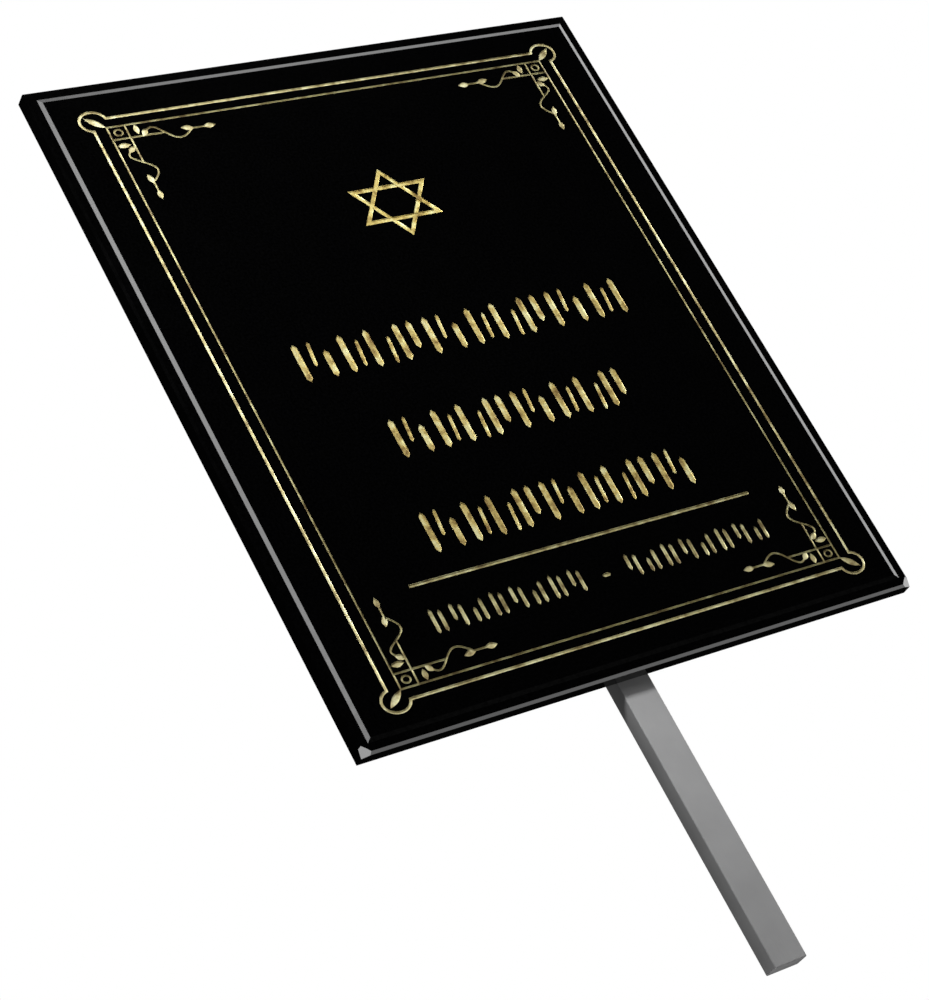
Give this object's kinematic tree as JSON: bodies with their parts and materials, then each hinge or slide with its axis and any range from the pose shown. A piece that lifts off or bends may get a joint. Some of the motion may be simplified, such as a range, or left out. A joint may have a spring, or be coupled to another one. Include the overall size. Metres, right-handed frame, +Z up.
{
  "type": "grave plaque with stake",
  "caption": "Upright rectangular stone grave plaque with a gilded engraved border, star and stroke rows, fixed to a flat steel stake for the ground.",
  "frame": {"origin": "centre of the flat foot of the stake, the end that is set in the ground", "axes": "+Z up along the stake towards the plaque, -Y out of the plaque's engraved face, +X to the right as seen from the front"},
  "size_m": [0.28, 0.0163, 0.448],
  "materials": {
    "polished_stone": "black, mirror polished face and edges",
    "ground_stone": "pale grey, satin ground bevel",
    "gilding": "gold leaf in the engraving, slightly mottled",
    "painted_steel": "matt mid-grey"
  },
  "bodies": {
    "root": {"plaque": "polished_stone", "stake": "painted_steel"}
  },
  "joints": []
}
